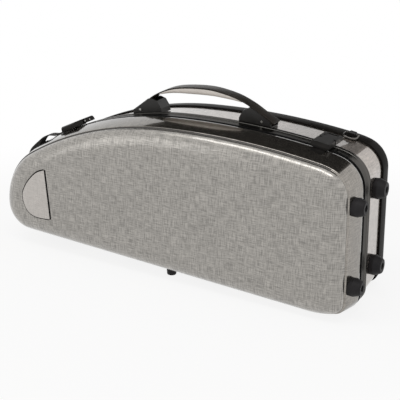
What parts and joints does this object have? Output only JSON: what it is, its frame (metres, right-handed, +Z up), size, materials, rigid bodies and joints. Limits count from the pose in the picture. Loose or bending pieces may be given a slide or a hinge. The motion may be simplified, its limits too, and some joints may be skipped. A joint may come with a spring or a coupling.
{
  "type": "alto saxophone case",
  "caption": "Moulded alto saxophone case with a padded hinged lid, draw latches, a top handle, end feet and a carry ring.",
  "frame": {"origin": "on the ground, under the middle of the case's box", "axes": "+X along the case to its wide end, +Y to the back, +Z up"},
  "size_m": [0.6365, 0.1918, 0.2971],
  "materials": {
    "shell": "clear-coated linen weave",
    "seal": "matt black",
    "band": "dark anodised, ridged",
    "bumper": "satin black",
    "padding": "short black plush over foam",
    "foot_rubber": "matt black",
    "black_metal": "satin black",
    "strap": "black",
    "grip": "pale grey",
    "webbing": "black webbing",
    "steel": "bright",
    "plate": "satin, bare"
  },
  "bodies": {
    "rear_half": {"rear_shell": "shell", "rim_seal": "seal", "rim_band": "band", "rear_bumper": "bumper", "rear_padding": "padding", "end_foot_rear_lower": "foot_rubber", "foot_screw_rear_lower": "steel", "end_foot_rear_upper": "foot_rubber", "foot_screw_rear_upper": "steel", "bottom_stud_rear": "foot_rubber", "hinge_leaf_rear_right": "black_metal", "hinge_pin_right": "steel", "hinge_leaf_rear_middle": "black_metal", "hinge_pin_middle": "steel", "hinge_leaf_rear_left": "black_metal", "hinge_pin_left": "steel", "handle_bracket_left": "black_metal", "handle_bracket_right": "black_metal", "handle_strap": "strap", "handle_grip": "grip", "handle_pin_left": "steel", "handle_pin_right": "steel", "latch_base_left": "black_metal", "latch_pivot_outer_left": "steel", "latch_pivot_inner_left": "steel", "latch_base_right": "black_metal", "latch_pivot_outer_right": "steel", "latch_pivot_inner_right": "steel", "webbing_loop": "webbing", "loop_rivet_lower": "steel", "loop_rivet_upper": "steel", "ring_clip": "black_metal"},
    "lid": {"front_shell": "shell", "lid_padding": "padding", "end_foot_front_lower": "foot_rubber", "foot_screw_front_lower": "steel", "end_foot_front_upper": "foot_rubber", "foot_screw_front_upper": "steel", "bottom_stud_front": "foot_rubber", "hinge_leaf_front_right": "black_metal", "hinge_leaf_front_middle": "black_metal", "hinge_leaf_front_left": "black_metal", "latch_keeper_left": "black_metal", "latch_keeper_right": "black_metal", "badge_plate": "plate"},
    "lever_left": {"latch_lever_left": "black_metal", "latch_claw_pin_left": "steel"},
    "claw_left": {"latch_claw_left": "black_metal"},
    "lever_right": {"latch_lever_right": "black_metal", "latch_claw_pin_right": "steel"},
    "claw_right": {"latch_claw_right": "black_metal"},
    "carry_ring": {"carry_ring": "steel"}
  },
  "joints": [
    {"name": "lid_hinge", "type": "hinge", "parent": "rear_half", "child": "lid", "pos_m": [-0.07152, -0.03752, 0.00921], "axis": [0.9993, 0, -0.0384], "range_deg": [0, 95]},
    {"name": "latch_lever_left_lift", "type": "hinge", "parent": "rear_half", "child": "lever_left", "pos_m": [-0.21029, -0.01152, 0.20685], "axis": [0.9027, 0, 0.4302], "range_deg": [0, 92]},
    {"name": "latch_claw_left_turn", "type": "hinge", "parent": "lever_left", "child": "claw_left", "pos_m": [-0.21007, 0.00148, 0.2064], "axis": [-0.9027, 0, -0.4302], "range_deg": [0, 92]},
    {"name": "latch_lever_right_lift", "type": "hinge", "parent": "rear_half", "child": "lever_right", "pos_m": [0.23033, -0.01152, 0.25111], "axis": [0.9907, 0, -0.1357], "range_deg": [0, 92]},
    {"name": "latch_claw_right_turn", "type": "hinge", "parent": "lever_right", "child": "claw_right", "pos_m": [0.23026, 0.00148, 0.25061], "axis": [-0.9907, 0, 0.1357], "range_deg": [0, 92]},
    {"name": "carry_ring_swing", "type": "hinge", "parent": "rear_half", "child": "carry_ring", "pos_m": [0.24146, 0.06098, 0.24316], "axis": [-0.9893, 0, 0.1458], "range_deg": [0, 150]}
  ],
  "couplings": [
    {"joint": "latch_claw_left_turn", "follows": "latch_lever_left_lift", "ratio": 1},
    {"joint": "latch_claw_right_turn", "follows": "latch_lever_right_lift", "ratio": 1}
  ]
}
